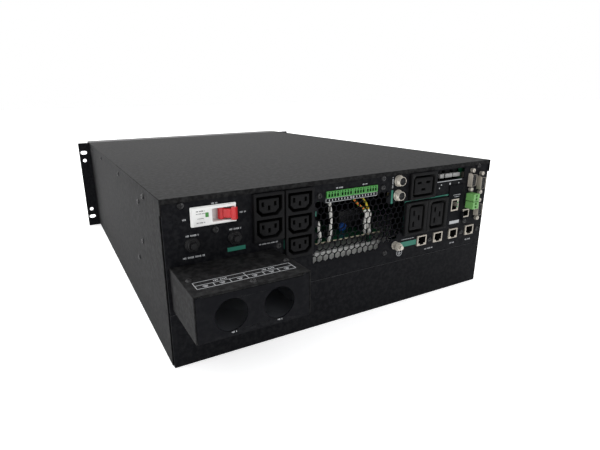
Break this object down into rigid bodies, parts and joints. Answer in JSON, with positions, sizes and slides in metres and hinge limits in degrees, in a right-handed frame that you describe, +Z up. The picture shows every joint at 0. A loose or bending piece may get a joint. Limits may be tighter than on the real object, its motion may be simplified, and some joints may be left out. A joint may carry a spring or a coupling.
{
  "type": "rackmount ups",
  "caption": "Black four-unit rackmount power supply with rear outlets, breakers, data ports, a terminal box and front battery drawers.",
  "frame": {"origin": "under the middle of the overall box, at the underside", "axes": "+Z up, the front faces -Y, +X to the right of a person facing the front"},
  "size_m": [0.4826, 0.693, 0.172],
  "materials": {
    "case_dark": "fine matt powder coat",
    "case_top": "fine matt powder coat",
    "bezel_plastic": "fine moulded grain",
    "button_plastic": "satin",
    "black_plastic": "satin moulding",
    "grey_plastic": "satin moulding",
    "battery_plastic": "satin moulding",
    "white_plastic": "semi gloss",
    "red_plastic": "semi gloss",
    "green_plastic": "satin",
    "blue_plastic": "satin",
    "white_sleeve": "soft sleeve",
    "circuit_board": "solder mask",
    "capacitor_sleeve": "shrunk sleeve",
    "copper_winding": "enamelled",
    "brass_contact": "plain",
    "nickel": "satin plate",
    "black_screw": "blackened",
    "bare_aluminium": "mill finish",
    "zinc_sheet": "galvanised",
    "drawer_steel": "matt",
    "dark_glass": "gloss"
  },
  "bodies": {
    "case": {"base_tray": "case_dark", "top_cover": "case_top", "rear_panel": "case_dark", "middle_deck": "zinc_sheet", "centre_web": "zinc_sheet", "front_bulkhead": "case_dark", "rack_ear_left": "case_dark", "rack_ear_right": "case_dark", "case_screws": "black_screw", "panel_screws": "black_screw", "front_bezel": "bezel_plastic", "display_window": "dark_glass", "display_board": "circuit_board", "mains_breaker": "white_plastic", "reset_breakers": "black_plastic", "reset_breaker_nuts": "black_plastic", "outlet_strip_two": "black_plastic", "outlet_strip_three": "black_plastic", "large_outlet_level": "black_plastic", "large_outlets_upright": "black_plastic", "outlet_contacts": "brass_contact", "signal_headers": "green_plastic", "sensor_sockets": "nickel", "sensor_socket_nuts": "nickel", "ground_stud": "nickel", "ground_nuts": "nickel", "network_jacks": "nickel", "network_card": "case_dark", "usb_port": "nickel", "dsub_sockets": "nickel", "dsub_jackscrews": "nickel", "green_plugs": "green_plastic", "accessory_bay": "grey_plastic", "terminal_box": "case_dark", "terminal_box_cover": "case_dark", "terminal_block": "grey_plastic", "terminal_screws": "nickel", "power_board": "circuit_board", "heatsinks": "bare_aluminium", "bus_capacitors": "capacitor_sleeve", "power_inductors": "copper_winding", "board_parts": "blue_plastic", "communication_board": "circuit_board", "inner_wires": "white_sleeve", "fan_frames": "black_plastic"},
    "mains_lever": {"mains_breaker_lever": "red_plastic"},
    "reset_left": {"reset_button_left": "black_plastic"},
    "reset_right": {"reset_button_right": "black_plastic"},
    "fan_1": {"fan_rotor_1": "black_plastic"},
    "fan_2": {"fan_rotor_2": "black_plastic"},
    "fan_3": {"fan_rotor_3": "black_plastic"},
    "nav_1": {"nav_button_1": "button_plastic"},
    "nav_2": {"nav_button_2": "button_plastic"},
    "nav_3": {"nav_button_3": "button_plastic"},
    "nav_4": {"nav_button_4": "button_plastic"},
    "power": {"power_button": "button_plastic"},
    "drawer_left": {"battery_drawer_left": "drawer_steel", "battery_blocks_left": "battery_plastic"},
    "drawer_right": {"battery_drawer_right": "drawer_steel", "battery_blocks_right": "battery_plastic"}
  },
  "joints": [
    {"name": "mains_lever_swing", "type": "hinge", "parent": "case", "child": "mains_lever", "pos_m": [0.1608, 0.2733, 0.1516], "axis": [0, 0, 1], "range_deg": [-92, 0]},
    {"name": "reset_left_travel", "type": "slide", "parent": "case", "child": "reset_left", "axis": [0, 1, 0], "range_m": [0, 0.004]},
    {"name": "reset_right_travel", "type": "slide", "parent": "case", "child": "reset_right", "axis": [0, 1, 0], "range_m": [0, 0.004]},
    {"name": "fan_1_spin", "type": "hinge", "parent": "case", "child": "fan_1", "pos_m": [-0.158, -0.2919, 0.122], "axis": [0, 1, 0], "continuous": true},
    {"name": "fan_2_spin", "type": "hinge", "parent": "case", "child": "fan_2", "pos_m": [-0.07, -0.2919, 0.122], "axis": [0, 1, 0], "continuous": true},
    {"name": "fan_3_spin", "type": "hinge", "parent": "case", "child": "fan_3", "pos_m": [0.018, -0.2919, 0.122], "axis": [0, 1, 0], "continuous": true},
    {"name": "nav_1_press", "type": "slide", "parent": "case", "child": "nav_1", "axis": [0, 1, 0], "range_m": [0, 0.0012], "stiffness_N_per_m": 600, "springref_m": -0.001},
    {"name": "nav_2_press", "type": "slide", "parent": "case", "child": "nav_2", "axis": [0, 1, 0], "range_m": [0, 0.0012], "stiffness_N_per_m": 600, "springref_m": -0.001},
    {"name": "nav_3_press", "type": "slide", "parent": "case", "child": "nav_3", "axis": [0, 1, 0], "range_m": [0, 0.0012], "stiffness_N_per_m": 600, "springref_m": -0.001},
    {"name": "nav_4_press", "type": "slide", "parent": "case", "child": "nav_4", "axis": [0, 1, 0], "range_m": [0, 0.0012], "stiffness_N_per_m": 600, "springref_m": -0.001},
    {"name": "power_press", "type": "slide", "parent": "case", "child": "power", "axis": [0, 1, 0], "range_m": [0, 0.0012], "stiffness_N_per_m": 600, "springref_m": -0.001},
    {"name": "drawer_left_pull", "type": "slide", "parent": "case", "child": "drawer_left", "axis": [0, -1, 0], "range_m": [0, 0.45]},
    {"name": "drawer_right_pull", "type": "slide", "parent": "case", "child": "drawer_right", "axis": [0, -1, 0], "range_m": [0, 0.45]}
  ]
}
